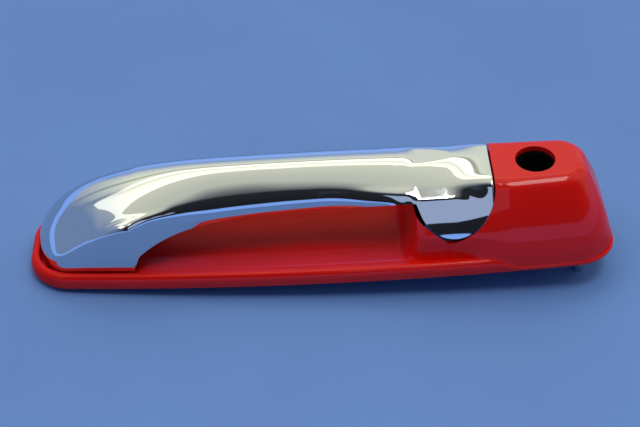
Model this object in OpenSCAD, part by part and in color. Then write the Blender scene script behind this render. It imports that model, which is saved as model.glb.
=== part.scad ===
// Outside car door handle: a bright grip on a painted housing, with its pull linkage behind the door skin.
// Lengths are in millimetres. +X runs towards the lock end, +Z out of the door, z = 0 is the door skin.

/* [Housing] */
// Overall length of the painted housing
body_l = 285.2; // [280:0.2:290]
// Height of the flat top of the lock block
block_h = 40; // [39:0.5:41]
// Height of the rounded rim
lip_h = 7; // [6:0.5:8]
// Wall thickness of the housing
wall = 2.6; // [2.2:0.1:3]
// Radius of the lock opening
lock_r = 9.6; // [9.5:0.1:10]

/* [Grip] */
// Height of the grip above the door skin
grip_h = 44.2; // [43.6:0.2:45]
// Shell thickness of the bright cover
cover_t = 2.2; // [2:0.1:2.4]
// Gap around the end of the grip where it meets the lock block
part_gap = 0.7; // [0.5:0.1:0.9]

/* [Linkage] */
// Radius of the grip pivot pin
pivot_r = 2.5; // [2.4:0.1:2.6]
// Length of the crank arm from its axis to the tip
crank_arm = 24.3; // [24:0.1:24.5]
// Radius of the two fixing studs
stud_r = 3; // [2.9:0.1:3]
// Number of coils in the return spring
spring_coils = 5; // [4:1:5]

/* [Hidden] */
$fn = 48;
EPS = 0.01;
half_l = body_l / 2;
pivot_x = -127;
pivot_z = 8;
leg_x = 69.5;
lock_x = 105.4;
lock_y = 3.7;
crank_y = 15.5;
crank_z = 7;
rest_a = -30;
split_x = 84;
plate_top = -0.6;
plate_bot = -2.8;
stud_x = 126;
stud_ys = [-15, 17.5];
boss_pts = [[-108, -14.5], [-108, 17], [97, -22.5], [97, 23.5]];

// ---------- shared curves ----------
function soft(t) = let (u = min(1, max(0, t))) u * u * (3 - 2 * u);
function lerp(a, b, t) = a + (b - a) * t;
function near_w(x) = 32.4 - 6.4 * pow((x - 37) / 145, 2);
function far_w(x) = 32 - 3.5 * pow((x - 30) / 150, 2);

// Height of the grip's crest along the handle: a long shallow arc, then a nose that falls to the rim
function nose(x) = let (u = min(0.999, max(0, (-30 - x) / 111))) pow(1 - pow(u, 3.3), 0.61);
function crest(x) = x > -30 ? grip_h - 0.0003 * pow(x + 30, 2) : 3 + (grip_h - 3) * nose(x);
// Lower edge of the grip's near side: the arch between the foot and the block
function edge_z(x) = x > -86 ? 28 - 13 * exp(-(x + 86) / 22) : 5.6 + 9.4 * soft((x + 91.5) / 5.5);
function edge_y(x) = x > -90 ? 9.4 + 12.99 * exp(-(x + 90) / 22) : near_w(x) - 5.1;
function waist_z(x) = max(edge_z(x) + 0.6, 6.8 + 24.7 * soft((x + 135) / 95));
function waist_y(x) = edge_y(x) + 0.6 - 2.1 * soft((-80 - x) / 15);
function tip(x) = x > -121.4 ? 1 : pow(1 - pow(min(0.995, (-121.4 - x) / 16.4), 2.3), 0.4348);

// ---------- solids through rings ----------
// Rings run counter-clockwise seen from the end they climb to; mirrored points close the two ends.
module loft(rings) {
  n = len(rings[0]);
  m = len(rings);
  pts = [for (r = rings) for (p = r) p];
  side = [for (j = [0:m - 2]) for (i = [0:n - 1])
    let (a = j * n + i, b = j * n + (i + 1) % n, c = a + n, d = b + n)
    for (f = [[a, c, d], [a, d, b]]) f];
  low = [for (i = [0:n / 2 - 2]) for (f = [[i, i + 1, n - 2 - i], [i, n - 2 - i, n - 1 - i]]) f];
  top = [for (i = [0:n / 2 - 2]) let (o = (m - 1) * n)
    for (f = [[o + i, o + n - 1 - i, o + n - 2 - i], [o + i, o + n - 2 - i, o + i + 1]]) f];
  polyhedron(points = pts, faces = concat(side, [for (f = low) if (f[1] != f[2]) f],
    [for (f = top) if (f[1] != f[2]) f]), convexity = 6);
}

// ---------- rim outline ----------
N_LONG = 22;
N_CORN = 6;
function long_x(i, xl, xr) = lerp(xl, xr, (i + 0.5) / N_LONG);
// One closed ring between xl and xr: nw and fw give the half widths at x, r rounds the corners
function ring(xl, xr, rl, rr, z, nd, fd) = let (cy = 3, st = 90 / (N_CORN - 1))
  concat(
    [[xl, cy - 3, z]],
    [for (k = [0:N_CORN - 1]) let (a = k * st, x = xl + rl * max(0.015, 1 - cos(a)))
      [x, -(nd(x) - rl * (1 - sin(a)) * 0.9), z]],
    [for (i = [0:N_LONG - 1]) let (x = long_x(i, xl + rl, xr - rr)) [x, -nd(x), z]],
    [for (k = [N_CORN - 1:-1:0]) let (a = k * st, x = xr - rr * max(0.015, 1 - cos(a)))
      [x, -(nd(x) - rr * (1 - sin(a)) * 0.9), z]],
    [[xr, cy - 3, z], [xr, cy + 3, z]],
    [for (k = [0:N_CORN - 1]) let (a = k * st, x = xr - rr * max(0.015, 1 - cos(a)))
      [x, fd(x) - rr * (1 - sin(a)) * 0.9, z]],
    [for (i = [0:N_LONG - 1]) let (x = long_x(N_LONG - 1 - i, xl + rl, xr - rr)) [x, fd(x), z]],
    [for (k = [N_CORN - 1:-1:0]) let (a = k * st, x = xl + rl * max(0.015, 1 - cos(a)))
      [x, fd(x) - rl * (1 - sin(a)) * 0.9, z]],
    [[xl, cy + 3, z]]
  );

// ---------- dish: rim, lip and finger pocket ----------
function rim_ring(d, z, k) = ring(-half_l + d, half_l - d, 20 - 0.6 * d, 18.5 - 0.6 * d, z,
  function(x) near_w(x) - d, function(x) far_w(x) - d);
// Height of the dish floor d mm inside the rim at x: a slope in the pocket, a low ledge under the foot
function dish_z(d, x) = let (foot = soft((-88 - x) / 5))
  lerp(1.6 + 5 * pow(max(0, 1 - (d - 4) / 18), 1.6), d < 4.4 ? 6.3 : 2.4, foot);
function lip_fade(x) = soft((x - 84) / 14);
module dish() {
  hs = [[0, 0], [0, 2.6], [0.3, 4.6], [1.1, 6.2], [2.4, 7], [3.6, 6.8]];
  ds = [4.2, 4.5, 5.8, 8, 11, 15, 22];
  under = [[22, -0.4], [9, -0.4], [6.4, 1.3], [1.2, 1.3], [1.2, 0]];
  top = [for (p = hs) [for (q = rim_ring(p[0], 0, 0))
    [q[0], q[1], p[1] * lerp(lip_h / 7, p[1] > 1.6 ? 1.6 / p[1] : 1, lip_fade(q[0]))]]];
  floor_rings = [for (d = ds) [for (q = rim_ring(d, 0, 0)) [q[0], q[1], d >= 22 ? 1.6 : lerp(dish_z(d, q[0]), 1.6, lip_fade(q[0]))]]];
  base = [for (p = under) rim_ring(p[0], p[1], 0)];
  loft(concat(base, top, floor_rings));
}

// ---------- lock block ----------
function tuck(x, z) = soft((92 - x) / 32) * (2.9 + 0.22 * max(0, 17 - z))
  + 5.5 * max(0, min(1, (90 - x) / 43)) * soft((z - 17) / 21);
function blk_near(x, z) = near_w(x) - 0.3 - 0.0816 * z - 0.01008 * z * z - tuck(x, z);
function blk_far(x, z) = far_w(x) - 0.3 - 0.15 * z - 0.0037 * z * z;
function blk_right(z) = half_l - 0.3 - 0.14 * z - 0.0053 * z * z;
function blk_left(z) = 46 - 0.008 * pow(max(0, 30 - z), 2);
function bulge(x) = max(0, crest(x) - 40) * soft((92 - x) / 6);
module block_body(t, z0, left = 0) {
  r = 3.5;
  zt = block_h - r;
  zs = t > 0 ? [z0, 6, 13, 20, 27, 32, zt] : [z0, 3, 7.5, 12, 17, 22, 27, 32, zt];
  lv = concat([for (z = zs) [z, 0]], [for (a = [22.5:22.5:90]) [zt + r * sin(a), r * (1 - cos(a))]]);
  loft([for (l = lv) let (z = l[0], e = l[1] + t)
    [for (q = ring(blk_left(z) - left + e, blk_right(z) - e, 9 - 0.5 * t, 20 - 0.2 * z - 0.5 * t, z,
      function(x) blk_near(x, z) - e, function(x) blk_far(x, z) - e))
      [q[0], q[1], q[2] + (bulge(q[0]) - t) * soft(z / 40)]]]);
}

// Plan outline of the end of the grip, a rounded tongue over the block; g grows it
module tongue(g, gl, right) {
  lx = 46.6 - gl;
  rx = split_x + 0.4 + g;
  cx = (lx + rx) / 2;
  w = (rx - lx) / 2;
  d = 15.9 + g;
  polygon(concat([[right, 22.8 + g], [lx, 22.8 + g]],
    [for (a = [180:-7.5:0]) let (c = cos(a))
      if (cx + sign(c) * w * pow(abs(c), 0.8) < right - 0.05)
        [cx + sign(c) * w * pow(abs(c), 0.8), -9 - d * pow(sin(a), 0.8)]],
    [[right, -9]]));
}

// ---------- grip ----------
// Cross-section of the bar at x, t inside its outer surface
function bar_ring(x, t, drop) = let (c = tip(x), y0 = 4, ny = edge_y(x) - t, wy = waist_y(x) - t,
  fy = 22.6 - 1.2 * soft((-108 - x) / 16) - t, za = crest(x) - t, zl = edge_z(x) - drop, wz = waist_z(x),
  ay = 8 - 2 * soft((-60 - x) / 40), hz = max(0.4, za - wz), zw = min(wz, za - 0.4), fw = fy - ay, nw = wy + ay)
  [for (p = concat(
    [[-ny, zl]], [[-ny * 0.4, zl]], [[0, zl]], [[fy * 0.5, zl]], [[fy - 0.4, zl]], [[fy, zl + 0.4 * (zw - zl)]],
    [for (a = [0:9:81]) [ay + fw * pow(cos(a), 0.76), zw + hz * pow(sin(a), 0.76)]],
    [[ay, zw + hz]],
    [for (a = [81:-9:0]) [ay - nw * pow(cos(a), 0.96), zw + hz * pow(sin(a), 0.96)]],
    [[-lerp(wy, ny, 0.3), lerp(zw, zl, 0.3)]], [[-lerp(wy, ny, 0.55), lerp(zw, zl, 0.55)]],
    [[-lerp(wy, ny, 0.8), lerp(zw, zl, 0.8)]]))
    [x, y0 + (p[0] - y0) * c, p[1]]];
bar_xs = [-137.4, -137.1, -136.5, -135.7, -134.5, -133, -131, -128.5, -125.5, -121.8, -117, -111, -105,
  -99, -94, -91.5, -90.4, -89, -87.5, -86, -83.5, -80, -75, -69, -62, -53, -43, -32, -20, -8, 5, 18, 30, 40, 48, 56];
module bar_outer() { loft([for (x = bar_xs) bar_ring(x, 0, 0)]); }
module bar_inner(t, drop) {
  x0 = bar_xs[0] + t;
  loft([for (x = concat([x0], [for (x = bar_xs) if (x > x0 + 0.4) x])) bar_ring(x, t, drop)]);
}
module grip_end(g) {
  intersection() {
    block_body(g, 2, 14);
    translate([0, 0, 15.5]) linear_extrude(40) tongue(-g, -g - 0.01, split_x - part_gap / 2 - g);
  }
}

module housing() {
  color("#c8202c") difference() {
    resize([body_l, 0, 0]) difference() {
      union() {
        dish();
        block_body(0, 1.45);
      }
      difference() {
        block_body(wall, -4);
        for (p = boss_pts) translate([p[0], p[1], plate_top + 0.1]) cylinder(r = 3.4, h = 15);
      }
      translate([0, 0, 14.5]) linear_extrude(40) tongue(part_gap / 2, 0.8, split_x + part_gap / 2);
      translate([38, -9.6, 25.5]) cube([14, 33.6, 30]);
      translate([-136.2, -13.1, -3]) cube([24, 30.2, 15]);
    }
    translate([lock_x, lock_y, 30]) cylinder(r = lock_r, h = 16);
    for (p = boss_pts) translate([p[0], p[1], plate_top - 1]) cylinder(r = 1.5, h = p[0] < 0 ? 2.2 : 10);
  }
}

module grip_cover() {
  color("#d9dde0") resize([222.2 - part_gap / 2 - 0.8, 0, 0]) difference() {
    union() {
      bar_outer();
      grip_end(0);
    }
    bar_inner(cover_t, 6);
    grip_end(cover_t);
    translate([47.5, -7, 20]) cube([30, 26, 14]);
  }
}

// ---------- black inner half of the grip ----------
module rod_y(x, y0, y1, z, r) { translate([x, y0, z]) rotate([-90, 0, 0]) cylinder(r = r, h = y1 - y0); }
module rod_x(x0, x1, y, z, r) { translate([x0, y, z]) rotate([0, 90, 0]) cylinder(r = r, h = x1 - x0); }
slab_xs = [-84.8, -82.5, -80, -74, -66, -56, -44, -30, -14, 4, 24, 44, 60, 80];
module slab() {
  loft([for (x = slab_xs) let (n = x > 44 ? 7.2 : edge_y(x) - cover_t - 0.3, z = edge_z(x) + 0.8)
    [[x, -n, z], [x, -3, z], [x, 12, z], [x, 19.6, z], [x, 19.6, z + 3], [x, 12, z + 4],
     [x, -3, z + 4], [x, -n, z + 3]]]);
}
module grip_carrier() {
  color("#1b1c1f") difference() {
    union() {
      slab();
      translate([-94, -17.5, 6]) cube([2.6, 36.5, 14]);
      translate([-94, -15.8, 16.5]) cube([10, 34.8, 4]);
      translate([pivot_x, -8, pivot_z - 1]) cube([36.2, 20, 5]);
      rod_y(pivot_x, -8, 12, pivot_z, 5.5);
      for (x = [-70, -20, 30]) translate([x, 6, edge_z(x) + 1]) cylinder(r = 3.5, h = crest(x) - cover_t - edge_z(x) - 1.8);
      translate([leg_x - 5, -13.2, 25.6]) cube([10, 10.6, 3.8]);
      translate([leg_x - 5, -14.6, -11.5]) cube([10, 2.3, 39.1]);
      translate([leg_x - 5, -14.6, -11.5]) cube([10, 7.45, 2.2]);
    }
    rod_y(pivot_x, -9, 13, pivot_z, 3.5);
    for (x = [-70, -20, 30]) translate([x, 6, edge_z(x) - 4]) cylinder(r = 1.25, h = 12);
    for (x = [-70, -20, 30]) translate([x, 6, edge_z(x) - 4]) cylinder(r = 3.2, h = 6.2);
  }
}

module grip_screws() {
  color("#8f959b") for (x = [-70, -20, 30]) translate([x, 6, edge_z(x) + 1.2]) {
    cylinder(r = 2.8, h = 1);
    cylinder(r = 1.25, h = 8);
  }
}

// Acetal shoe clipped round the end of the leg, the face that lifts the crank
module leg_shoe() {
  color("#e6e2d6") difference() {
    translate([leg_x - 5.8, -11.2, -12.1]) cube([11.6, 4.8, 3.6]);
    translate([leg_x - 5.05, -11.65, -11.55]) cube([10.1, 4.55, 2.3]);
  }
}

module grip_buffer() {
  color("#26272a") translate([-93.8, -6, 3.3]) cube([2.2, 22, 2.7]);
}

// ---------- chassis and its fittings ----------
module plate_outline(d) {
  polygon([for (q = rim_ring(d, 0, 0)) [q[0], q[1]]]);
}
module chassis() {
  color("#202226") {
    translate([49.5, 22, plate_bot]) cube([10.5, 2.4, 3.8]);
    translate([52.3, 22, -6]) cube([7.7, 2.4, 7]);
    chassis_body();
  }
}
module chassis_body() {
  difference() {
    union() {
      translate([0, 0, plate_bot]) linear_extrude(plate_top - plate_bot) plate_outline(5.4);
      for (y = [-11.3, 12.9]) {
        rod_y(pivot_x, y, y + 2.4, pivot_z, 4.2);
        translate([pivot_x - 4.2, y, plate_bot]) cube([8.4, 2.4, pivot_z - plate_bot]);
      }
      translate([lock_x, lock_y, -11]) cylinder(r = 13, h = 22);
      for (x = [49.5, 89]) {
        translate([x, 8.5, plate_bot]) cube([2.4, 14, crank_z - plate_bot]);
        rod_x(x, x + 2.4, crank_y, crank_z, 7);
      }
      translate([89, -20, plate_bot]) cube([2.4, 43, 8]);
      translate([49.5, -20, plate_bot]) cube([2.4, 43, 5]);
      for (y = stud_ys) translate([stud_x, y, -6]) cylinder(r = 7, h = 11);
      for (y = [-10, 14]) translate([108, y - 1, -6]) cube([17, 2, 9]);
      translate([-127, -11, plate_bot - 0.6]) cube([15, 24, 1.4]);
    }
    translate([lock_x, lock_y, -12]) cylinder(r = 11.7, h = 24);
    translate([52, -19, -4]) cube([37, 45.5, 6]);
    rod_x(48, 93, crank_y, crank_z, 2.5);
    rod_y(pivot_x, -14, 18, pivot_z, 2.5);
    translate([pivot_x - 5.8, -8.9, -4]) cube([16.8, 21.8, 5]);
    for (p = boss_pts) translate([p[0], p[1], -4]) cylinder(r = 1.9, h = 5);
    for (y = stud_ys) {
      translate([stud_x, y, -7]) cylinder(r = stud_r + 0.6, h = 14);
      translate([stud_x, y, 1]) cylinder(r = 5.85, h = 5, $fn = 6);
    }
  }
}

module lock_sleeve() {
  color("#101114") difference() {
    union() {
      translate([lock_x, lock_y, -12]) cylinder(r = 11.6, h = 48);
      translate([lock_x, lock_y, 11.3]) cylinder(r = 13, h = 1.6);
      translate([lock_x, lock_y, -12.4]) cylinder(r = 13, h = 1.2);
    }
    translate([lock_x, lock_y, -14]) cylinder(r = 9.2, h = 52);
    translate([lock_x, lock_y, 34.3]) difference() {
      cylinder(r = 12, h = 2);
      cylinder(r = 10.2, h = 2);
    }
  }
}

module lock_seal() {
  color("#2b2c2f") translate([lock_x, lock_y, 34.3]) difference() {
    cylinder(r = 11.4, h = 2.3);
    translate([0, 0, -1]) cylinder(r = 10.2, h = 5);
  }
}

module fixing_studs() {
  color("#b9bcbf") for (y = stud_ys) translate([stud_x, y, 0]) {
    translate([0, 0, 1]) cylinder(r = 5.75, h = 4, $fn = 6);
    translate([0, 0, -6]) cylinder(r = stud_r + 0.55, h = 7.5);
    translate([0, 0, -16]) cylinder(r = stud_r, h = 10.5);
  }
}

module housing_screws() {
  color("#a9adb1") for (p = boss_pts) translate([p[0], p[1], plate_bot - 0.5]) {
    cylinder(r = 3, h = 0.5);
    cylinder(r = 1.5, h = p[0] < 0 ? 2.6 : 9.5);
  }
}

// Spring steel hook that grips the door skin at the front end
module front_hook() {
  color("#7d8187") {
    translate([-111.5, -7, -3.2]) cube([18, 16, 0.4]);
    for (y = [-7, 7.8]) translate([-108, y, -3.2]) cube([10, 1.2, 0.39]);
  }
}

module housing_gasket() {
  color("#2a2b2e") translate([0, 0, 0]) linear_extrude(1.3) difference() {
    plate_outline(1.3);
    plate_outline(4.5);
  }
}

module pivot_pin() {
  color("#b4b7ba") difference() {
    union() {
      rod_y(pivot_x, -11.8, 17.4, pivot_z, pivot_r);
      rod_y(pivot_x, -12.1, -11.3, pivot_z, 3.4);
    }
    difference() {
      rod_y(pivot_x, 15.4, 16.2, pivot_z, 3);
      rod_y(pivot_x, 15.3, 16.3, pivot_z, 2);
    }
  }
}
module pivot_clip() {
  color("#6b6f74") difference() {
    rod_y(pivot_x, 15.4, 16.2, pivot_z, 4.2);
    rod_y(pivot_x, 15, 17, pivot_z, 2);
    translate([pivot_x - 1.7, 15, pivot_z]) cube([3.4, 2, 6]);
  }
}
module pivot_bushes() {
  color("#e6e2d6") for (y = [-8.8, 6]) difference() {
    union() {
      rod_y(pivot_x, y < 0 ? y + 0.8 : y, y < 0 ? y + 6.8 : y + 6, pivot_z, 3.5);
      rod_y(pivot_x, y < 0 ? y : y + 6, y < 0 ? y + 0.8 : y + 6.8, pivot_z, 5);
    }
    rod_y(pivot_x, -10, 14, pivot_z, pivot_r + 0.05);
  }
}

// ---------- crank ----------
module arm(x0, x1, a, len, r0, r1) {
  translate([0, crank_y, crank_z]) rotate([a, 0, 0]) {
    rod_x(x0, x1, 0, 0, r0);
    rod_x(x0, x1, -len, 0, r1);
    translate([x0, -len, -r1]) cube([x1 - x0, len, 2 * r1]);
  }
}
module crank() {
  a = -rest_a;
  color("#c4a24a") difference() {
    union() {
      rod_x(54.6, 86.4, crank_y, crank_z, 5);
      arm(leg_x - 3, leg_x + 3, a, crank_arm, 5, 3);
      arm(56, 59, a + 60, 12, 5, 3.6);
      arm(61, 64, a + 180, 6.2, 5, 4);
    }
    rod_x(50, 90, crank_y, crank_z, 3.5);
    translate([0, crank_y, crank_z]) rotate([a + 60, 0, 0]) rod_x(55, 60, -12, 0, 1.6);
    translate([0, crank_y, crank_z]) rotate([a + 180, 0, 0]) {
      rod_x(60, 65, -7, 0, 1.25);
      rod_x(64, 66.45, -7, 0, 3.05);
    }
  }
}
module crank_pin() {
  color("#b4b7ba") difference() {
    union() {
      rod_x(48.7, 93.4, crank_y, crank_z, 2.5);
      rod_x(48.2, 49.4, crank_y, crank_z, 3.8);
    }
    difference() {
      rod_x(91.7, 92.5, crank_y, crank_z, 3);
      rod_x(91.6, 92.6, crank_y, crank_z, 2);
    }
  }
}
module crank_clip() {
  color("#6b6f74") difference() {
    rod_x(91.7, 92.5, crank_y, crank_z, 4.4);
    rod_x(91, 93, crank_y, crank_z, 2);
    translate([91, crank_y - 1.7, crank_z]) cube([2, 3.4, 6]);
  }
}
module crank_bushes() {
  color("#e6e2d6") for (m = [0, 1]) translate([m * 141, 0, 0]) mirror([m, 0, 0]) difference() {
    union() {
      rod_x(54.6, 60.6, crank_y, crank_z, 3.5);
      rod_x(53.8, 54.6, crank_y, crank_z, 4.8);
    }
    rod_x(50, 62, crank_y, crank_z, 2.55);
  }
}
module counterweight() {
  color("#8b9096") translate([0, crank_y, crank_z]) rotate([-rest_a + 180, 0, 0]) difference() {
    rod_x(64.05, 66.3, -7, 0, 3);
    rod_x(64, 68, -7, 0, 1.25);
  }
}
module weight_rivet() {
  color("#b9bcbf") translate([0, crank_y, crank_z]) rotate([-rest_a + 180, 0, 0]) {
    rod_x(60.2, 66.8, -7, 0, 1.25);
    rod_x(59.6, 60.95, -7, 0, 2.2);
  }
}

// Torsion spring: a stack of coils with one tail on the chassis and one on the crank
module return_spring() {
  color("#9a9ea3") {
    for (i = [0:spring_coils - 1]) translate([77.2 + 1.3 * i, crank_y, crank_z]) rotate([0, 90, 0])
      rotate_extrude() translate([6.3, 0]) circle(r = 0.75, $fn = 24);
    rod_y(77.2, crank_y, crank_y + 10.6, crank_z - 6.3, 0.7);
    translate([77.2 + 1.3 * (spring_coils - 1), crank_y, crank_z]) rotate([-rest_a, 0, 0]) translate([0, 0, 6.3])
      rotate([90, 0, 0]) cylinder(r = 0.7, h = 11);
    translate([72.4, crank_y, crank_z]) rotate([-rest_a, 0, 0]) translate([0, -11, 6.3])
      rotate([0, 90, 0]) cylinder(r = 0.7, h = 10.5);
  }
}
module crank_stop() {
  color("#26272a") translate([55.5, 19.6, -7]) cube([4, 2.4, 4.6]);
}

module rod_clip() {
  color("#3f8f57") translate([0, crank_y, crank_z]) rotate([-rest_a + 60, 0, 0]) translate([0, -12, 0]) {
    rod_x(53.6, 59.8, 0, 0, 1.5);
    rod_x(52.4, 55.4, 0, 0, 3.2);
    rod_x(59.3, 60, 0, 0, 2.1);
  }
}

// Foam boot round the opening for the leg
module leg_seal() {
  color("#3a3b3e") translate([0, 0, plate_bot - 1.4]) linear_extrude(1.4) difference() {
    translate([48, -22]) square([44, 51]);
    translate([52, -19]) square([37, 45.5]);
  }
}

housing();
housing_gasket();
chassis();
lock_sleeve();
lock_seal();
fixing_studs();
housing_screws();
front_hook();
pivot_pin();
pivot_bushes();
pivot_clip();
grip_cover();
grip_carrier();
grip_screws();
grip_buffer();
leg_shoe();
crank();
crank_pin();
crank_bushes();
crank_clip();
counterweight();
weight_rivet();
return_spring();
crank_stop();
rod_clip();
leg_seal();
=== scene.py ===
"""Visual model of an outside car door handle: painted housing, bright plated grip, black inner parts."""

import bpy
import numpy as np
from bpy.props import FloatProperty, FloatVectorProperty, PointerProperty
from mathutils import Matrix, Vector


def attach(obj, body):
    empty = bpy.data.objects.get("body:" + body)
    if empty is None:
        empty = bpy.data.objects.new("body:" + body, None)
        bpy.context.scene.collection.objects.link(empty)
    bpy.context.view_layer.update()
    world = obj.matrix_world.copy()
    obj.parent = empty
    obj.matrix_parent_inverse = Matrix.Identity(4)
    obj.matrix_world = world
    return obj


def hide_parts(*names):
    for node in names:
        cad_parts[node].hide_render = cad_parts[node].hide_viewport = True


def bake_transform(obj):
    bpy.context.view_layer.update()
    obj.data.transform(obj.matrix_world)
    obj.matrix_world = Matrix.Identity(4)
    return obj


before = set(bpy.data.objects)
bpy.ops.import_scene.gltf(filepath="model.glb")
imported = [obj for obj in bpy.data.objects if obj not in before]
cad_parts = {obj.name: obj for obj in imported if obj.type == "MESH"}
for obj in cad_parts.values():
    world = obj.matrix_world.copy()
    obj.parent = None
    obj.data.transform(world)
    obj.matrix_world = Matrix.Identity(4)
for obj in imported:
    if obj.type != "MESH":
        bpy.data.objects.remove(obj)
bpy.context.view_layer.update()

bl_info = {
    "name": "Car door handle",
    "version": (1, 0, 0),
    "blender": (4, 5, 0),
    "location": "View3D > Sidebar > Handle",
    "description": "Builds the looks of a car door handle around its CAD frame",
    "category": "Object",
}

MM = 0.001
# all in mm, as the solids have them
HALF_L = 142.6  # half length of the housing
BLOCK_TOP = 40.0  # top of the lock block
TOP_ROUND = 3.5  # rounding of the block's top edge
SKELETON_X = 117.0  # half length of the housing's middle line
SPLIT_X = 84.0  # where the grip meets the block
LOCK = (105.4, 3.7)  # plan centre of the lock opening
CRANK_Y, CRANK_Z = 15.5, 7.0  # the crank's axis
NEST_FLOOR = 15.5  # lower edge of the grip's end on the far side
BAR_HALF = 14.4  # near edge of the bar where it meets the block
FAR_SIDE = 22.45  # far side of the grip's end
NEST_LEFT = 46.7  # left end of the nest in the block
WALL = 1.7  # wall of the plated shell


# ---------- colour, nodes and materials ----------
def hex_linear(code):
    """sRGB hex colour to linear RGBA: each channel c becomes ((c + 0.055) / 1.055) ** 2.4."""
    c = np.array([int(code[i : i + 2], 16) for i in (1, 3, 5)]) / 255
    lin = np.where(c <= 0.04045, c / 12.92, ((c + 0.055) / 1.055) ** 2.4)
    return (*[float(v) for v in lin], 1.0)


def add_node(tree, kind, settings=None, inputs=None, links=None, stops=()):
    """Adds one shader node; settings are attributes, inputs are socket values, links join sockets, and
    stops are a ramp's places and hex colours."""
    node = tree.nodes.new(kind)
    for _ in stops[2:]:
        node.color_ramp.elements.new(0.5)
    for k, (at, code) in enumerate(stops):
        node.color_ramp.elements[k].position = at
        node.color_ramp.elements[k].color = hex_linear(code)
    for key, value in (settings or {}).items():
        setattr(node, key, value)
    for key, value in (inputs or {}).items():
        node.inputs[key].default_value = value
    for key, source in (links or {}).items():
        tree.links.new(source, node.inputs[key])
    return node


def surface_material(name, surface, grain_mm, grain_height, tint=0.0, mark_mm=30.0, rough_swing=0.0):
    """Principled material with a fine bump of grain_mm, and a slow change of shade and gloss over mark_mm."""
    mat = bpy.data.materials.new(name)
    mat.use_nodes = True
    tree = mat.node_tree
    shader = tree.nodes["Principled BSDF"]
    for key, value in surface.items():
        shader.inputs[key].default_value = value
    place = add_node(tree, "ShaderNodeTexCoord")
    grain = add_node(tree, "ShaderNodeTexNoise", None, {"Scale": 1 / (grain_mm * MM), "Detail": 2.0},
                     {"Vector": place.outputs["Object"]})
    bump = add_node(tree, "ShaderNodeBump", None, {"Strength": 1.0, "Distance": grain_height * MM},
                    {"Height": grain.outputs["Fac"]})
    tree.links.new(bump.outputs["Normal"], shader.inputs["Normal"])
    if "Coat Weight" in surface:
        tree.links.new(bump.outputs["Normal"], shader.inputs["Coat Normal"])
    if tint or rough_swing:
        marks = add_node(tree, "ShaderNodeTexNoise", None, {"Scale": 1 / (mark_mm * MM), "Detail": 4.0},
                         {"Vector": place.outputs["Object"]})
    if tint:
        base = np.array(surface["Base Color"])
        shade = add_node(tree, "ShaderNodeValToRGB", None, None, {"Fac": marks.outputs["Fac"]})
        for stop, k, at in zip(shade.color_ramp.elements, (1 - tint, 1 + tint), (0.35, 0.65)):
            stop.position = at
            stop.color = (*np.clip(base[:3] * k, 0, 1), 1)
        tree.links.new(shade.outputs["Color"], shader.inputs["Base Color"])
    if rough_swing:
        r = surface["Roughness"]
        gloss = add_node(tree, "ShaderNodeMapRange", None, {"From Min": 0.3, "From Max": 0.7,
                         "To Min": max(0.01, r - rough_swing), "To Max": r + rough_swing},
                         {"Value": marks.outputs["Fac"]})
        tree.links.new(gloss.outputs["Result"], shader.inputs["Roughness"])
    return mat


def recess_painted_shade(mat, full, shaded_weight):
    """Coat weight of the paint as painted shade: low below z = 6 mm inside y = -21 mm, where the grip shades
    the finger recess, so its coat reflection is dulled there; full above 12 mm and along the lip.
    """
    tree = mat.node_tree
    place = add_node(tree, "ShaderNodeTexCoord")
    part = add_node(tree, "ShaderNodeSeparateXYZ", None, None, {"Vector": place.outputs["Object"]})
    high = add_node(tree, "ShaderNodeMapRange", None, {"From Min": 6 * MM, "From Max": 12 * MM},
                    {"Value": part.outputs["Z"]})
    lip = add_node(tree, "ShaderNodeMapRange", None, {"From Min": -21 * MM, "From Max": -26 * MM},
                   {"Value": part.outputs["Y"]})
    most = add_node(tree, "ShaderNodeMath", {"operation": "MAXIMUM"}, None,
                    {0: high.outputs["Result"], 1: lip.outputs["Result"]})
    # painted shade: the low coat weight in the recess stands in for the grip's shade
    coat = add_node(tree, "ShaderNodeMapRange", None, {"To Min": shaded_weight, "To Max": full},
                    {"Value": most.outputs["Value"]})
    tree.links.new(coat.outputs["Result"], tree.nodes["Principled BSDF"].inputs["Coat Weight"])


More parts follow.
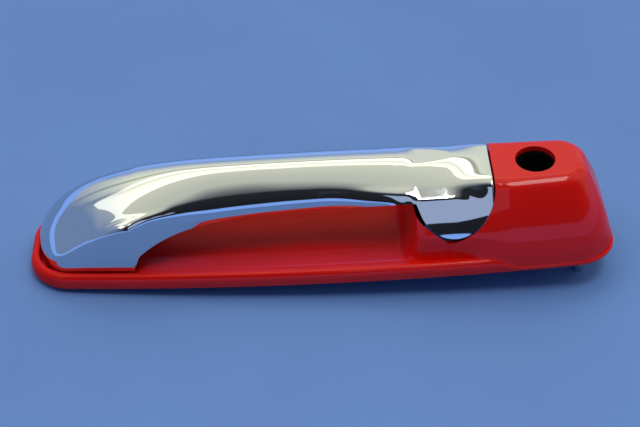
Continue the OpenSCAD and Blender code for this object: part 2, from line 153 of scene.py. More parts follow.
def make_materials(paint, plate):
    """All finishes of the handle, keyed by a short name."""
    black = {"Metallic": 0.0, "IOR": 1.5}
    made = {}
    # Two-pack red paint under clear coat on moulded plastic: deep even red, sharp coat reflections
    # over a soft base, and the faint orange peel of a sprayed film.
    made["paint"] = surface_material("red_clear_coated_paint", {
        "Base Color": (*paint, 1), "Metallic": 0.0, "Roughness": 0.42, "Specular IOR Level": 0.1, "IOR": 1.5,
        "Coat Weight": 0.6, "Coat Roughness": 0.035, "Coat IOR": 1.5}, 2.2, 0.0016, 0.03, 40)
    # Painted shade: the coat reflection is turned down in the finger recess, which shows duller than the
    # block and the lip, standing in for the shade the grip casts there.
    recess_painted_shade(made["paint"], 0.6, 0.06)
    # Bright decorative chromium on plated plastic: near-mirror, very slightly wavy from the moulding.
    made["chrome"] = surface_material("bright_chrome_plating", {
        "Base Color": (*plate, 1), "Metallic": 1.0, "Roughness": 0.045}, 9.0, 0.006, 0.0, 14, 0.02)
    # Glass-filled nylon, moulded in a spark-eroded tool: soft black with a fine dry grain.
    made["nylon"] = surface_material("black_glass_filled_nylon", {
        **black, "Base Color": hex_linear("#1c1d20"), "Roughness": 0.55}, 0.45, 0.03, 0.25, 8, 0.08)
    # Moulded black ABS of the lock sleeve: a little smoother, shows soft highlights round the bore.
    made["sleeve"] = surface_material("black_moulded_abs", {
        **black, "Base Color": hex_linear("#131416"), "Roughness": 0.38}, 0.6, 0.02, 0.2, 6, 0.06)
    # EPDM rubber: dark grey, no clear highlight.
    made["rubber"] = surface_material("black_epdm_rubber", {
        **black, "Base Color": hex_linear("#202124"), "Roughness": 0.8}, 0.5, 0.03, 0.2, 5)
    # Closed-cell foam: dull charcoal with open pores of about 0.8 mm.
    made["foam"] = surface_material("closed_cell_foam", {
        **black, "Base Color": hex_linear("#33353a"), "Roughness": 0.95}, 0.8, 0.12, 0.3, 3)
    # Natural acetal: creamy, waxy and slightly see-through.
    made["acetal"] = surface_material("natural_acetal", {
        **black, "Base Color": hex_linear("#e8e3d3"), "Roughness": 0.35, "Subsurface Weight": 0.15,
        "Subsurface Scale": 0.002}, 0.7, 0.01, 0.04, 6)
    # Green acetal of the rod clip: saturated, waxy.
    made["clip_green"] = surface_material("green_acetal", {
        **black, "Base Color": hex_linear("#3f8f57"), "Roughness": 0.35}, 0.7, 0.01, 0.08, 4)
    # Zinc-plated steel: bluish silver with a light cloudiness.
    made["zinc"] = surface_material("zinc_plated_steel", {
        "Base Color": hex_linear("#c3c8cc"), "Metallic": 1.0, "Roughness": 0.28}, 0.5, 0.008, 0.08, 3, 0.08)
    # Ground steel pins: brighter, with a fine grain.
    made["ground"] = surface_material("ground_steel", {
        "Base Color": hex_linear("#cfd0d2"), "Metallic": 1.0, "Roughness": 0.2}, 0.4, 0.004, 0.04, 3, 0.05)
    # Phosphated spring steel: dark grey, satin.
    made["phosphate"] = surface_material("phosphated_spring_steel", {
        "Base Color": hex_linear("#6a6d72"), "Metallic": 1.0, "Roughness": 0.45}, 0.5, 0.01, 0.15, 3, 0.08)
    # Die-cast zinc with yellow passivation: pale gold with rainbow-like cloudiness toned down.
    made["passivated"] = surface_material("yellow_passivated_zinc", {
        "Base Color": hex_linear("#cdb36a"), "Metallic": 1.0, "Roughness": 0.38}, 1.1, 0.03, 0.16, 5, 0.08)
    # As-cast steel slug of the counterweight: dull, pitted.
    made["cast"] = surface_material("as_cast_steel", {
        "Base Color": hex_linear("#7b7e82"), "Metallic": 1.0, "Roughness": 0.6}, 0.7, 0.08, 0.2, 3)
    return made


# ---------- small numeric helpers ----------
def soft(t):
    """Smooth step from 0 to 1: u*u*(3 - 2u)."""
    u = np.clip(t, 0, 1)
    return u * u * (3 - 2 * u)


def curve(x, keys):
    """Smooth curve through (x, value) keys: cubic pieces whose slope at a key is the mean of its neighbours',
    set to zero where the keys turn, so it never overshoots."""
    kx, ky = np.array(keys, float).T
    slope = np.diff(ky) / np.diff(kx)
    m = np.concatenate([[slope[0]], np.where(slope[1:] * slope[:-1] > 0,
                        2 * slope[1:] * slope[:-1] / (slope[1:] + slope[:-1] + 1e-12), 0), [slope[-1]]])
    x = np.clip(x, kx[0], kx[-1])
    i = np.clip(np.searchsorted(kx, x) - 1, 0, len(kx) - 2)
    h = kx[i + 1] - kx[i]
    t = (x - kx[i]) / h
    return (ky[i] * (1 + 2 * t) * (1 - t) ** 2 + ky[i + 1] * t * t * (3 - 2 * t)
            + h * (m[i] * t * (1 - t) ** 2 - m[i + 1] * t * t * (1 - t)))


def grid_object(name, points, wrap_cols=False, flip=False):
    """Mesh object from a grid of points (rows, columns, 3) in mm: one quad between each four neighbours."""
    r, c = points.shape[:2]
    i, j = np.meshgrid(np.arange(r - 1), np.arange(c if wrap_cols else c - 1), indexing="ij")
    i2, j2 = i + 1, (j + 1) % c
    quads = np.stack([i * c + j, i * c + j2, i2 * c + j2, i2 * c + j], -1).reshape(-1, 4)
    if flip:
        quads = quads[:, ::-1]
    return mesh_object(name, points.reshape(-1, 3), quads)


def mesh_object(name, verts, faces, merge=1e-6):
    """Object from vertices in mm and faces; doubles are merged, which closes seams and poles."""
    import bmesh
    mesh = bpy.data.meshes.new(name)
    mesh.from_pydata((np.asarray(verts) * MM).tolist(), [], np.asarray(faces).tolist())
    bm = bmesh.new()
    bm.from_mesh(mesh)
    bmesh.ops.remove_doubles(bm, verts=bm.verts, dist=merge)
    bmesh.ops.dissolve_degenerate(bm, edges=bm.edges, dist=1e-8)
    bm.to_mesh(mesh)
    bm.free()
    obj = bpy.data.objects.new(name, mesh)
    bpy.context.scene.collection.objects.link(obj)
    return obj


def settle(obj, angle_deg=35.0):
    """Applies the modifiers into the mesh, then smooth shading with sharp edges above the angle."""
    dg = bpy.context.evaluated_depsgraph_get()
    mesh = bpy.data.meshes.new_from_object(obj.evaluated_get(dg))
    obj.modifiers.clear()
    obj.data = mesh
    mesh.name = obj.name
    mesh.shade_smooth()
    mesh.set_sharp_from_angle(angle=np.radians(angle_deg))
    return obj


def cut(obj, cutter):
    """Takes the cutter's solid out of obj."""
    mod = obj.modifiers.new("cut", "BOOLEAN")
    mod.operation = "DIFFERENCE"
    mod.solver = "EXACT"
    mod.object = cutter
    dg = bpy.context.evaluated_depsgraph_get()
    mesh = bpy.data.meshes.new_from_object(obj.evaluated_get(dg))
    obj.modifiers.clear()
    obj.data = mesh
    bpy.data.objects.remove(cutter)
    if not len(mesh.polygons):
        raise RuntimeError("the cut left nothing of " + obj.name)


def prism(name, outline, z0, z1):
    """Closed upright prism over a counter-clockwise plan outline (n, 2), from z0 to z1, in mm."""
    n = len(outline)
    ring = np.arange(n)
    verts = np.concatenate([np.c_[outline, np.full(n, z0)], np.c_[outline, np.full(n, z1)]])
    sides = np.stack([ring, (ring + 1) % n, (ring + 1) % n + n, ring + n], -1).tolist()
    mesh = bpy.data.meshes.new(name)
    mesh.from_pydata((verts * MM).tolist(), [], sides + [ring[::-1].tolist(), (ring + n).tolist()])
    obj = bpy.data.objects.new(name, mesh)
    bpy.context.scene.collection.objects.link(obj)
    return obj


def box(name, low, size):
    """Closed box from its low corner and size in mm."""
    (x, y, z), (a, b, c) = low, size
    return prism(name, np.array([[x, y], [x + a, y], [x + a, y + b], [x, y + b]]), z, z + c)


def circle(cx, cy, r, n=96):
    """Plan circle of n points."""
    t = np.linspace(0, 2 * np.pi, n, endpoint=False)
    return np.c_[cx + r * np.cos(t), cy + r * np.sin(t)]


# ---------- the housing's surfaces ----------
def near_w(x):
    """Half width on the near side: a parabola about x = 37."""
    return 32.4 - 6.4 * ((x - 37) / 145) ** 2


def far_w(x):
    """Half width on the far side: a flatter parabola about x = 30."""
    return 32 - 3.5 * ((x - 30) / 150) ** 2


def crest(x):
    """Height of the grip's crest: a long shallow arc, then the nose, 3 + 41.2 * (1 - u^3.3)^0.61."""
    u = np.clip((-30 - x) / 111, 0, 0.999)
    return np.where(x > -30, 44.2 - 0.0003 * (x + 30) ** 2, 3 + 41.2 * (1 - u**3.3) ** 0.61)


def tuck(x, z):
    """How far the block's near face steps back behind the lip."""
    return (soft((92 - x) / 32) * (2.9 + 0.22 * np.maximum(0, 17 - z))
            + 5.5 * np.clip((90 - x) / 43, 0, 1) * soft((z - 17) / 21))


def block_margin(x, y, z):
    """Distance inside the block's outline at height z: the least distance to four curved walls, with
    quarter-ellipse corners where two walls are both near."""
    up = np.maximum(z, 0)
    near = y + near_w(x) - 0.3 - 0.0816 * z - 0.01008 * up**2 - tuck(x, z)
    far = far_w(x) - 0.3 - 0.15 * z - 0.0037 * up**2 - y
    right = HALF_L - 0.3 - 0.14 * z - 0.0053 * up**2 - x
    left = x - 46 + 0.008 * np.maximum(0, 30 - z) ** 2
    side = np.minimum(near, far)
    out = np.minimum(side, np.minimum(left, right))
    for wall, r in ((right, 20 - 0.2 * up), (left, 9 + 0 * up)):
        u = np.clip((r - wall) / r, 0, None)
        v = np.clip((0.9 * r - side) / (0.9 * r), 0, None)
        out = np.where((wall < r) & (side < 0.9 * r), np.minimum(out, r * (1 - np.hypot(u, v))), out)
    return out


def block_height(x, y):
    """Top of the lock block over a plan point, by halving: the greatest level whose outline, drawn in by the
    top rounding, still holds the point; plus the swell that carries the grip's crest on to the block."""
    lo, hi = np.full(np.shape(x), -14.0), np.full(np.shape(x), BLOCK_TOP)
    flat = BLOCK_TOP - TOP_ROUND
    for _ in range(26):
        mid = (lo + hi) / 2
        t = np.clip((mid - flat) / TOP_ROUND, 0, 1)
        inside = block_margin(x, y, mid) >= TOP_ROUND * (1 - np.sqrt(1 - t * t))
        lo, hi = np.where(inside, mid, lo), np.where(inside, hi, mid)
    swell = np.maximum(0, crest(x) - 40) * soft((92 - x) / 6)
    return lo + swell * soft(lo / 40)


def lip_height(d):
    """Height of the lip d mm inside the rim: a steep rounded shoulder to 7 mm, then a gentle fall inwards."""
    rise = 2.6 + 4.45 * (1 - (np.clip(2.9 - d, 0, 2.9) / 2.9) ** 2.2) ** 0.55
    floor = 1.6 + 5 * np.clip(1 - (d - 4) / 18, 0, 1) ** 1.6
    return np.where(d < 2.9, rise, floor + (7.05 - floor) * (1 - soft((d - 2.9) / 2.2)))


def dish_height(x, d):
    """Height of the rim, lip and finger pocket: the lip fades out towards the block, and under the foot of
    the grip the floor drops to a low ledge."""
    h = lip_height(d)
    foot = soft((-88 - x) / 5) * soft((d - 4.1) / 0.9)
    h = h + (np.minimum(h, 2.4) - h) * foot
    fade = soft((x - 84) / 14)
    return h + (np.minimum(h, 1.6) - h) * fade


def housing_height(x, y, d, fillet):
    """Smooth maximum of dish and block, max(a, b) + k/4 * (1 - |a - b|/k)^2, which is the fillet between."""
    a, b = dish_height(x, d), block_height(x, y)
    k = fillet * soft((90 - x) / 8) + 0.5
    return np.maximum(a, b) + k / 4 * np.clip(1 - np.abs(a - b) / k, 0, 1) ** 2


def outline_stations(n_corner=26, n_end=14):
    """Places of the columns round the rim, closer where the grip's nest is cut. Returns a function ring(d)
    that gives the plan ring d mm inside the rim through the same columns."""
    coarse = np.arange(-122.6, 124.2, 1.0)
    fine = np.arange(36.0, 49.0, 0.33)
    longs = np.unique(np.concatenate([coarse[(coarse < 35.9) | (coarse > 49.1)], fine, [-122.6, 124.1]]))
    ang = np.linspace(0, np.pi / 2, n_corner)[:-1]
    ends = np.linspace(-1, 1, n_end)[1:-1]

    def ring(d):
        """Plan ring d mm inside the rim, counter-clockwise from the left end."""
        rl, rr = max(20 - 0.6 * d, 5.0), max(18.5 - 0.6 * d, 4.0)
        xl, xr = -HALF_L + d, HALF_L - d
        near = lambda x: near_w(x) - d
        far = lambda x: far_w(x) - d
        ln = (longs + 122.6) / (124.1 + 122.6) * ((xr - rr) - (xl + rl)) + xl + rl
        keep = np.clip(longs, xl + rl, xr - rr)
        mix = np.clip((np.abs(longs - 42) - 10) / 30, 0, 1)
        ln = keep * (1 - mix) + ln * mix
        cl, cr = rl * (1 - np.cos(ang)), rr * (1 - np.cos(ang))
        dl, dr = 0.9 * rl * (1 - np.sin(ang)), 0.9 * rr * (1 - np.sin(ang))
        top_l, bot_l = far(xl) - 0.9 * rl, -(near(xl) - 0.9 * rl)
        top_r, bot_r = far(xr) - 0.9 * rr, -(near(xr) - 0.9 * rr)
        mid = lambda a, b: a + (b - a) * (ends + 1) / 2
        parts = [
            np.c_[np.full(len(ends), xl), mid(top_l, bot_l)],
            np.c_[xl + cl, -(near(xl + cl) - dl)],
            np.c_[ln, -near(ln)],
            np.c_[xr - cr, -(near(xr - cr) - dr)][::-1],
            np.c_[np.full(len(ends), xr), mid(bot_r, top_r)],
            np.c_[xr - cr, far(xr - cr) - dr],
            np.c_[ln, far(ln)][::-1],
            np.c_[xl + cl, far(xl + cl) - dl][::-1],
        ]
        return np.concatenate(parts)
    return ring


def housing_grid():
    """Rows from the middle of the underside out to the rim, up over the lip and walls, and in to the
    middle of the top: every row is a plan ring, every column a cross-section of the moulding."""
    ring = outline_stations()
    rows = []
    rim = ring(0.0)
    deep = ring(18.0)
    spine = np.c_[np.clip(deep[:, 0], -SKELETON_X, SKELETON_X), np.zeros(len(deep))]
    rows.append(np.c_[spine, np.full(len(rim), -0.4)])
    for d, z in ((18, -0.4), (9, -0.4), (6.4, -0.4), (6.4, 1.3), (1.2, 1.3), (1.2, 0.0), (0.25, 0.0)):
        rows.append(np.c_[ring(d), np.full(len(rim), z)])
    rows.append(np.c_[rim, np.full(len(rim), 0.25)])
    fade = 1 - soft((rim[:, 0] - 84) / 14)
    for z in (1.2, 2.6):
        rows.append(np.c_[rim, np.minimum(z, 1.4 + (z - 1.4) * fade)])
    levels = np.concatenate([[0.02, 0.06, 0.13, 0.22], np.linspace(0.32, 0.9, 4),
                             1.2 + 16.8 * np.linspace(0, 1, 44) ** 1.35])
    for d in levels:
        q = ring(d)
        rows.append(np.c_[q, housing_height(q[:, 0], q[:, 1], d, 5.0)])
    for t in np.linspace(0, 1, 26)[1:]:
        q = deep * (1 - t) + spine * t
        rows.append(np.c_[q, housing_height(q[:, 0], q[:, 1], 18 + 12 * t, 5.0)])
    return np.array(rows)


def tongue_outline(g, gl, right):
    """Plan of the end of the grip over the block: a superellipse of power 0.8, closed along the far side."""
    lx, rx = 46.6 - gl, SPLIT_X + 0.4 + g
    cx, w, d = (lx + rx) / 2, (rx - lx) / 2, 15.9 + g
    a = np.radians(np.arange(180, -0.1, -2.5))
    x = cx + np.sign(np.cos(a)) * w * np.abs(np.cos(a)) ** 0.8
    y = -9 - d * np.sin(a) ** 0.8
    keep = x < right - 0.02
    return np.concatenate([[[right, 22.8 + g], [lx, 22.8 + g]], np.c_[x, y][keep],
                           [[right, -9 - d * np.interp(right, x, np.sin(a) ** 0.8)]]])


def tongue_near(x):
    """Near boundary of the grip's end at x, as a positive distance: 9 + 15.9 * sin(a)^0.8."""
    cx, w = (46.6 + SPLIT_X + 0.4) / 2, (SPLIT_X + 0.4 - 46.6) / 2
    c = np.clip(np.abs(x - cx) / w, 0, 1) ** (1 / 0.8)
    return 9 + 15.9 * np.sqrt(1 - c * c) ** 0.8


def hollow_grid(wall):
    """Closed solid of the block's hollow: rings at rising levels, each the block's outline less a wall."""
    zs = np.array([-4, 0, 4, 8, 12, 16, 20, 24, 28, 32, 34.5, 36.2, 37.2])
    n = 120
    t = np.linspace(0, 2 * np.pi, n, endpoint=False)
    rows = []
    for z in zs:
        inset = wall + (0 if z < 34 else (z - 34) * 0.7)
        cx, cy = 95.0, 2.0
        ray = np.c_[np.cos(t), np.sin(t)]
        lo, hi = np.zeros(n), np.full(n, 90.0)
        for _ in range(24):
            mid = (lo + hi) / 2
            ok = block_margin(cx + ray[:, 0] * mid, cy + ray[:, 1] * mid, max(z, 0.0)) > inset
            lo, hi = np.where(ok, mid, lo), np.where(ok, hi, mid)
        rows.append(np.c_[cx + ray[:, 0] * lo, cy + ray[:, 1] * lo, np.full(n, float(z))])
    rows = np.array(rows)
    first, last = rows[:1].copy(), rows[-1:].copy()
    first[..., :2], last[..., :2] = (95.0, 2.0), (95.0, 2.0)
    return np.concatenate([first, rows, last])


def build_housing(materials):
    """The painted moulding: skin grid, less the hollow, the grip's nest, foot window and lock hole."""
    obj = grid_object("housing_skin", housing_grid(), wrap_cols=True)
    cut(obj, grid_object("hollow", hollow_grid(2.6), wrap_cols=True))
    cut(obj, prism("nest", tongue_outline(0.35, 0.8, SPLIT_X + 0.35), 14.5, 56))
    cut(obj, box("arch_way", (38, -9.6, 25.5), (14, 33.6, 30)))
    cut(obj, box("foot_window", (-134.6, -13.1, -3), (22.4, 30.2, 15)))
    cut(obj, prism("lock_hole", circle(*LOCK, 9.6), 30, 46))
    settle(obj, 32)
    obj.data.materials.clear()
    obj.data.materials.append(materials["paint"])
    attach(obj, "base")
    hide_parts("housing")


# ---------- the grip's shell ----------
def edge_z(x):
    """Lower edge of the grip: the arch falls by exp(-(x + 86)/22) to the foot, which sits at 5.6."""
    return np.where(x > -86, 28 - 13 * np.exp(-(np.maximum(x, -86) + 86) / 22),
                    5.6 + 9.4 * soft((x + 91.5) / 5.5))


def edge_y(x):
    """Near edge of the grip: runs along the lip at the foot, then draws in to a straight bar."""
    return np.where(x > -90, 9.4 + 12.99 * np.exp(-(np.maximum(x, -90) + 90) / 22), near_w(x) - 5.1)


def bar_sections(x, n):
    """Cross-sections of the bar: skirt, band, shoulder and dome, n points each evenly spaced, with the
    corners rounded by a short running mean."""
    ey, ez, top = edge_y(x), edge_z(x), crest(x)
    band_z = curve(x, [(-138, 8.2), (-132, 9.0), (-125, 11.5), (-116, 17), (-108, 24.5), (-99, 29.4),
                       (-91, 31.8), (-80, 32.2), (-73, 31.2), (-66, 29.6), (-60, 28.9), (-45, 29.1),
                       (-16, 30.2), (10, 30.8), (60, 30.8)])
    band_z = np.maximum(band_z, ez + 0.5)
    band_z = np.minimum(band_z, top - 0.5)
    band_y = ey + curve(x, [(-138, -1.0), (-100, -1.2), (-84, -1.4), (-70, -0.3), (-60, 0.3),
                            (-45, 0.6), (60, 0.6)])
    sh_y = curve(x, [(-138, 17.5), (-123, 17), (-105, 15.4), (-89, 13.8), (-80, 12.6), (-66, 10.3),
                     (-50, 8.0), (-30, 6.8), (-16, 6.3), (45, 6.2), (60, 6.2)])
    sh_z = curve(x, [(-138, 10.5), (-130, 13.5), (-123, 17.5), (-114, 24), (-105, 29.4), (-89, 34.8),
                     (-80, 35.4), (-60, 36.2), (-30, 37), (-16, 37.5), (45, 37.3), (60, 37.3)])
    flare = 5.0 * soft((x - 2) / 46)
    ey, ez, band_y, band_z = ey + flare, ez + 0.8 * flare, band_y + 0.8 * flare, band_z + 0.3 * flare
    band_z = np.maximum(band_z, ez + 0.4)
    sh_y, sh_z = sh_y + 0.25 * flare, sh_z - 0.1 * flare
    sh_z = np.minimum(sh_z, top - 1.2 - 2.2 * soft((x + 138) / 20))
    sh_y = np.minimum(sh_y, band_y - 0.8)
    apex = np.where(x > -60, 8.0, 8.0 - 2 * soft((-60 - x) / 40))
    far = 22.6 - 1.2 * soft((-108 - x) / 16)
    far_z = np.maximum(np.minimum(31.0, top - 0.8), ez + 0.6)
    far_z = np.where(x < -86, np.minimum(far_z, ez + (top - ez) * 0.62), far_z)
    t = np.linspace(0, 1, 60)[None, :]
    col = lambda v: np.broadcast_to(v, x.shape)[:, None]
    skirt = np.stack([-col(ey) - (col(band_y) - col(ey)) * t, col(ez) + (col(band_z) - col(ez)) * t], -1)
    bow = np.sin(np.pi * t) * 0.8
    band = np.stack([-col(band_y) + (col(band_y) - col(sh_y)) * t - bow * 0.5,
                     col(band_z) + (col(sh_z) - col(band_z)) * t + bow], -1)
    a = np.linspace(0, 1, 90)[None, :]
    full = col(curve(x, [(-138, 2.4), (-120, 2.2), (-95, 1.7), (-60, 1.45), (60, 1.45)]))
    dome = np.stack([-col(sh_y) + (col(apex) + col(sh_y)) * a,
                     col(sh_z) + (col(top) - col(sh_z)) * (1 - (1 - a) ** full)], -1)
    b = np.linspace(np.pi / 2, 0, 90)[None, :]
    back = np.stack([col(apex) + (col(far) - col(apex)) * np.abs(np.cos(b)) ** 0.76,
                     col(far_z) + (col(top) - col(far_z)) * np.sin(b) ** 0.76], -1)
    foot = ez + (NEST_FLOOR - ez) * soft((x - 37) / 6)
    fall = np.stack([col(far) + 0 * t, col(far_z) + (col(foot) - col(far_z)) * t], -1)
    line = np.concatenate([skirt, band[:, 1:], dome[:, 1:], back[:, 1:], fall[:, 1:]], 1)
    return even(line, n)


def even(line, n, sigma=1.0):
    """Resamples each row's polyline to n even points, after a running mean of sigma mm rounds its corners."""
    seg = np.hypot(*np.moveaxis(np.diff(line, axis=1), -1, 0))
    s = np.concatenate([np.zeros((len(line), 1)), np.cumsum(seg, 1)], 1)
    u = np.linspace(0, 1, 320)
    fine = np.stack([np.stack([np.interp(u * si[-1], si, li[:, k]) for k in (0, 1)], -1)
                     for si, li in zip(s, line)])
    step = s[:, -1] / 319
    reach = 14
    k = np.arange(-reach, reach + 1)
    w = np.exp(-0.5 * (k[None, :] * step[:, None] / sigma) ** 2)
    w /= w.sum(1, keepdims=True)
    first, last = fine[:, :1], fine[:, -1:]
    pad = np.concatenate([2 * first - fine[:, reach:0:-1], fine, 2 * last - fine[:, -2:-reach - 2:-1]], 1)
    smooth = sum(pad[:, i:i + 320] * w[:, i, None, None] for i in range(2 * reach + 1))
    pick = np.linspace(0, 319, n)
    i0 = np.minimum(pick.astype(int), 318)
    f = (pick - i0)[None, :, None]
    return smooth[:, i0] * (1 - f) + smooth[:, i0 + 1] * f


def block_sections(x, n):
    """Cross-sections of the grip's end: the lower of the block's skin and the bar's dome carried on, from the
    tongue's near edge over the top to the far edge, then straight down. Towards the split between grip and
    block the dome gives way to the higher of the two, which closes flush."""
    y0 = -((tongue_near(x) ** 8 + BAR_HALF**8) ** 0.125)
    t = np.linspace(0, 1, 400)
    y = y0[:, None] + (FAR_SIDE - y0[:, None]) * t[None, :]
    z = block_height(np.broadcast_to(np.maximum(x, 66)[:, None], y.shape), y)
    top, a = crest(x)[:, None], np.clip((y + 7.5) / 15.5, -0.6, 1)
    dome = np.where(a < 0, 36.8 + 8.9 * a, 36.8 + (top - 36.8) * (1 - (1 - np.maximum(a, 0)) ** 1.45))
    b = np.clip((y - 8) / 14.6, 0, 1)
    dome = np.where(y > 8, 31 + (top - 31) * (1 - b**2.632) ** 0.38, dome)
    hold = soft((x[:, None] - 62) / 21)
    z = np.minimum(z, dome * (1 - hold) + np.maximum(z, dome) * hold)
    z = np.maximum(z, NEST_FLOOR)
    down = np.linspace(0, 1, 40)[1:]
    fall_z = z[:, -1:] + (NEST_FLOOR - z[:, -1:]) * down[None, :]
    line = np.concatenate([np.stack([y, z], -1), np.stack([np.full_like(fall_z, FAR_SIDE), fall_z], -1)], 1)
    return even(line, n, 0.6)


def grip_grid(n=110):
    """The bright shell as one sheet: sections from the nose to the block end, drawn together at the nose,
    morphing from bar to block skin between x = 41 and 50, and closed by a flat wall at the block end."""
    nose = -137.4 + 16 * np.linspace(0, 1, 46) ** 2.2
    body = np.concatenate([np.arange(-120.6, -95, 0.8), np.arange(-95, -80, 0.4), np.arange(-80, 42, 1.0),
                           np.arange(42, 56, 0.3), np.arange(56, 82.4, 0.6)])
    lip = 83.65 - np.array([0.9, 0.6, 0.35, 0.16, 0.04, 0.0])
    x = np.concatenate([nose, body, lip])
    bar = bar_sections(x, n)
    u = np.clip((-121.4 - x) / 16.0, 0, 1)
    shrink = (1 - u**2.3) ** 0.4348
    bar[..., 0] = 4 + (bar[..., 0] - 4) * shrink[:, None]
    late = x > 40.5
    end = bar.copy()
    end[late] = block_sections(np.maximum(x[late], NEST_LEFT), n)
    w = soft((x - 41) / 9)[:, None, None]
    sec = bar * (1 - w) + end * w
    pts = np.concatenate([np.broadcast_to(x[:, None, None], (*sec.shape[:2], 1)), sec], -1)
    # rounded corner into the end wall
    drop = np.zeros(len(x))
    drop[-6:] = np.array([0.0, 0.06, 0.16, 0.34, 0.6, 0.9])
    mid = np.array([0.0, 6.0, 26.0])
    aim = mid - pts * [0, 1, 1]
    length = np.linalg.norm(aim[..., 1:], axis=-1, keepdims=True)
    pts[..., 1:] += aim[..., 1:] / np.maximum(length, 1e-6) * drop[:, None, None]
    chord = pts[-1, :1] + (pts[-1, -1:] - pts[-1, :1]) * np.linspace(0, 1, n)[:, None]
    cap = [pts[-1] + (chord - pts[-1]) * t for t in np.linspace(0, 0.96, 14)[1:]]
    return np.concatenate([pts, np.array(cap)])


def build_grip(materials):
    """The plated shell: one sheet with its wall inside it."""
    obj = grid_object("grip_shell", grip_grid(), flip=True)
    wall = obj.modifiers.new("wall", "SOLIDIFY")
    wall.thickness = WALL * MM
    wall.offset = -1
    wall.use_rim = True
    settle(obj, 50)
    obj.data.materials.clear()
    obj.data.materials.append(materials["chrome"])
    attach(obj, "grip")
    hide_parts("grip_cover")


# ---------- the spring ----------
def tube(name, path, radius, sides=14):
    """Round wire along a path (n, 3) in mm: circles of the radius square to the path, with closed ends."""
    path = np.asarray(path, float)
    tan = np.gradient(path, axis=0)
    tan /= np.linalg.norm(tan, axis=1, keepdims=True)
    up = np.cross(tan, [0.3, 0.5, 0.8])
    up /= np.linalg.norm(up, axis=1, keepdims=True)
    side = np.cross(tan, up)
    a = np.linspace(0, 2 * np.pi, sides, endpoint=False)
    across, along = np.cos(a)[None, :, None] * up[:, None], np.sin(a)[None, :, None] * side[:, None]
    rings = path[:, None] + radius * (across + along)
    first, last = np.repeat(path[:1, None], sides, 1), np.repeat(path[-1:, None], sides, 1)
    return grid_object(name, np.concatenate([first, rings, last]), wrap_cols=True, flip=True)


def build_spring(materials, coils):
    """Torsion spring: a helix about the crank's axis, one tail hooked on the chassis, one on the crank."""
    r, pitch, x0 = 6.3, 1.3, 77.2
    turns = coils - 1 + 0.5
    a = np.linspace(0, 2 * np.pi * turns, 260)
    start = -np.pi / 2
    x = x0 + pitch * (coils - 1) * a / a[-1]
    y = CRANK_Y + r * np.cos(start + a)
    z = CRANK_Z + r * np.sin(start + a)
    helix = np.c_[x, y, z]
    tail = np.linspace(0, 1, 24)[:, None]
    first = np.array([x0, CRANK_Y + 10.6, CRANK_Z - r]) * (1 - tail) + helix[0] * tail
    end = helix[-1]
    d = helix[-1] - helix[-2]
    d = np.array([0, d[1], d[2]]) / np.hypot(d[1], d[2])
    out = end + d * 9.5 * tail
    hook = out[-1] + np.array([-1, 0, 0]) * 9.0 * tail
    path = np.concatenate([first[:-1], helix, out[1:], hook[1:]])
    obj = tube("spring_wire", path, 0.7)
    settle(obj, 60)
    obj.data.materials.clear()
    obj.data.materials.append(materials["phosphate"])
    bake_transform(obj)
    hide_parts("return_spring")


FINISHES = {
    "housing_gasket": "rubber", "chassis": "nylon", "lock_sleeve": "sleeve", "lock_seal": "rubber",
    "fixing_studs": "zinc", "housing_screws": "zinc", "front_hook": "phosphate", "pivot_pin": "ground",
    "pivot_bushes": "acetal", "pivot_clip": "phosphate", "grip_carrier": "nylon", "grip_screws": "zinc",
    "grip_buffer": "rubber", "leg_shoe": "acetal", "crank": "passivated", "crank_pin": "ground",
    "crank_bushes": "acetal", "crank_clip": "phosphate", "counterweight": "cast", "weight_rivet": "zinc",
    "crank_stop": "rubber", "rod_clip": "clip_green", "leg_seal": "foam",
}


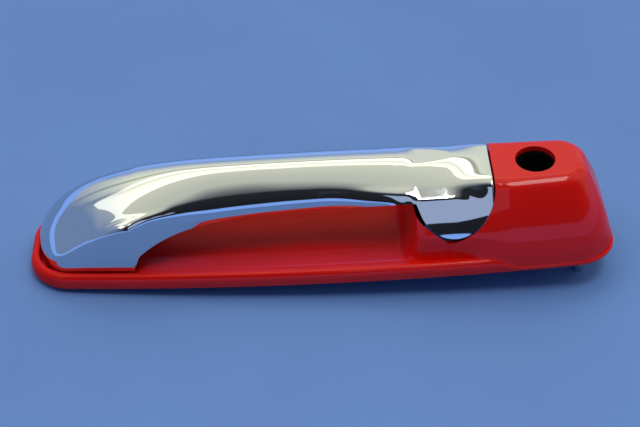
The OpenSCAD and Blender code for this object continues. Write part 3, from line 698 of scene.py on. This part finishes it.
# ---------- stage ----------
def build_stage(look):
    """Pale floor tilted to the plane the handle lies on, soft panels, even grey room, and the camera."""
    tilt = np.radians(2.99)
    rise = lambda px: -3.45 - np.tan(tilt) * (px + 112)
    reach = 2600.0
    verts = [(-reach, -reach, rise(-reach)), (reach, -reach, rise(reach)),
             (reach, reach, rise(reach)), (-reach, reach, rise(-reach))]
    floor = mesh_object("floor", verts, [[0, 1, 2, 3]])
    mat = surface_material("painted_board", {"Base Color": (*look.floor_colour, 1), "Roughness": 0.75,
                                             "IOR": 1.45}, 1.5, 0.02, 0.03, 120)
    floor.data.materials.append(mat)
    world = bpy.data.worlds.new("room")
    bpy.context.scene.world = world
    world.use_nodes = True
    tree = world.node_tree
    back = tree.nodes["Background"]
    where = add_node(tree, "ShaderNodeTexCoord")
    split = add_node(tree, "ShaderNodeSeparateXYZ", None, None, {"Vector": where.outputs["Generated"]})
    across = add_node(tree, "ShaderNodeMapRange", None, {"From Min": -1.0, "From Max": 1.0},
                      {"Value": split.outputs["Y"]})
    room = add_node(tree, "ShaderNodeValToRGB", None, None, {"Fac": across.outputs["Result"]}, [
        (0.0, "#15171b"), (0.31, "#1d2024"), (0.36, "#5d6062"), (0.42, "#a0a298"), (0.60, "#b4b6a4"),
        (0.66, "#a8aa99"), (0.70, "#6f7268"), (0.735, "#c3c5b0"), (0.80, "#c9cbb6"), (0.83, "#7d8176"),
        (0.855, "#c0c3b2"), (0.90, "#b0b4ac"), (0.94, "#6e84ab"), (1.0, "#7ea0dc")])
    lefts = add_node(tree, "ShaderNodeMapRange", None, {"From Min": -0.75, "From Max": -0.35, "To Min": 1.0,
                     "To Max": 0.0}, {"Value": split.outputs["X"]})
    mix = add_node(tree, "ShaderNodeMix", {"data_type": "RGBA"}, {7: hex_linear("#5b6f90")},
                   {0: lefts.outputs["Result"], 6: room.outputs["Color"]})
    low = add_node(tree, "ShaderNodeMapRange", None, {"From Min": 0.19, "From Max": 0.22, "To Min": 1.0,
                   "To Max": 0.0}, {"Value": split.outputs["Z"]})
    sweep = add_node(tree, "ShaderNodeMix", {"data_type": "RGBA"}, {7: hex_linear("#6a8ccc")},
                     {0: low.outputs["Result"], 6: mix.outputs[2]})
    tree.links.new(sweep.outputs[2], back.inputs["Color"])
    back.inputs["Strength"].default_value = look.room_light

    def panel(name, at, aim, size, watts, colour="#ffffff"):
        """One rectangular soft light at a point in mm, facing another point."""
        light = bpy.data.lights.new(name, "AREA")
        light.shape = "RECTANGLE"
        light.size, light.size_y = size[0] * MM, size[1] * MM
        light.energy = watts
        light.color = hex_linear(colour)[:3]
        obj = bpy.data.objects.new(name, light)
        bpy.context.scene.collection.objects.link(obj)
        obj.location = Vector(at) * MM
        obj.rotation_euler = (Vector(aim) - Vector(at)).to_track_quat("-Z", "Y").to_euler()
        return obj

    panel("overhead", (-200, 620, 1500), (0, 0, 0), (2200, 700), 3.7 * look.panel_light, "#fffbe8")
    panel("right_window", (390, -230, 1400), (60, 0, 20), (560, 300), 3.4 * look.panel_light)
    panel("block_card", (62, -245, 240), (66, -20, 28), (120, 170), 0.046 * look.panel_light, "#b9cdf5")
    panel("left_window", (-820, -330, 1250), (0, 0, 20), (420, 330), 0.9 * look.panel_light, "#ffedc8")
    cam = bpy.data.cameras.new("camera")
    cam.sensor_width = 36
    cam.lens = 36 * 1455 / 640
    cam.shift_x = -3 / 640
    obj = bpy.data.objects.new("camera", cam)
    bpy.context.scene.collection.objects.link(obj)
    e, t, psi = np.radians(41.6), np.radians(3.0), np.radians(2.0)
    turn = np.array([[np.cos(psi), -np.sin(psi), 0], [np.sin(psi), np.cos(psi), 0], [0, 0, 1]])
    lean = np.array([[np.cos(t), 0, -np.sin(t)], [0, 1, 0], [np.sin(t), 0, np.cos(t)]])
    axes = np.array([[1, 0, 0], [0, np.sin(e), np.cos(e)], [0, -np.cos(e), np.sin(e)]]) @ turn @ lean
    place = Matrix(axes.T.tolist()).to_4x4()
    place.translation = Vector((np.array([2.2, 2.0, 15.0]) + axes[2] * 713) * MM)
    obj.matrix_world = place
    cam.clip_start, cam.clip_end = 0.01, 20
    bpy.context.scene.camera = obj
    bpy.context.scene.view_settings.view_transform = "Standard"


# ---------- add-on ----------
class HandleLook(bpy.types.PropertyGroup):
    """Colours and light a user would change."""
    paint_colour: FloatVectorProperty(name="Paint", description="Colour of the painted housing",
                                      subtype="COLOR", size=3, default=hex_linear("#f2150b")[:3])
    plate_colour: FloatVectorProperty(name="Plating", description="Colour of the plated grip",
                                      subtype="COLOR", size=3, default=hex_linear("#dfe1e3")[:3])
    floor_colour: FloatVectorProperty(name="Floor", description="Colour of the floor",
                                      subtype="COLOR", size=3, default=hex_linear("#7299df")[:3])
    spring_coils: bpy.props.IntProperty(name="Spring coils", description="Coils of the return spring",
                                        default=5, min=3, max=7)
    room_light: FloatProperty(name="Room light", description="Strength of the even room light", default=1.75)
    panel_light: FloatProperty(name="Panel light", description="Strength of the soft panels", default=1.0)


MATERIALS = {}


class HANDLE_OT_finishes(bpy.types.Operator):
    """Makes every finish and gives the carried-over CAD nodes theirs"""
    bl_idname = "handle.finishes"
    bl_label = "Finishes"

    def execute(self, context):
        look = context.scene.handle_look
        MATERIALS.update(make_materials(look.paint_colour, look.plate_colour))
        for node, finish in FINISHES.items():
            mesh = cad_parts[node].data
            mesh.materials.clear()
            mesh.materials.append(MATERIALS[finish])
        return {"FINISHED"}


class HANDLE_OT_housing(bpy.types.Operator):
    """Builds the painted housing"""
    bl_idname = "handle.housing"
    bl_label = "Housing"

    def execute(self, context):
        build_housing(MATERIALS)
        return {"FINISHED"}


class HANDLE_OT_grip(bpy.types.Operator):
    """Builds the plated grip shell"""
    bl_idname = "handle.grip"
    bl_label = "Grip"

    def execute(self, context):
        build_grip(MATERIALS)
        return {"FINISHED"}


class HANDLE_OT_spring(bpy.types.Operator):
    """Builds the return spring of the crank"""
    bl_idname = "handle.spring"
    bl_label = "Spring"

    def execute(self, context):
        build_spring(MATERIALS, context.scene.handle_look.spring_coils)
        return {"FINISHED"}


class HANDLE_OT_stage(bpy.types.Operator):
    """Builds the floor, the lights and the camera"""
    bl_idname = "handle.stage"
    bl_label = "Stage"

    def execute(self, context):
        build_stage(context.scene.handle_look)
        return {"FINISHED"}


class HANDLE_PT_panel(bpy.types.Panel):
    """Sidebar panel of the door handle"""
    bl_label = "Door handle"
    bl_space_type = "VIEW_3D"
    bl_region_type = "UI"
    bl_category = "Handle"

    def draw(self, context):
        look = context.scene.handle_look
        for key in HandleLook.__annotations__:
            self.layout.prop(look, key)
        for kind in OPERATORS:
            self.layout.operator(kind.bl_idname)


OPERATORS = (HANDLE_OT_finishes, HANDLE_OT_housing, HANDLE_OT_grip, HANDLE_OT_spring, HANDLE_OT_stage)
CLASSES = (HandleLook, *OPERATORS, HANDLE_PT_panel)


def register():
    for kind in CLASSES:
        bpy.utils.register_class(kind)
    bpy.types.Scene.handle_look = PointerProperty(type=HandleLook)


def unregister():
    del bpy.types.Scene.handle_look
    for kind in reversed(CLASSES):
        bpy.utils.unregister_class(kind)


def main():
    register()
    for kind in OPERATORS:
        area, name = kind.bl_idname.split(".")
        getattr(getattr(bpy.ops, area), name)()
    bpy.context.view_layer.update()


if __name__ == "__main__":
    main()
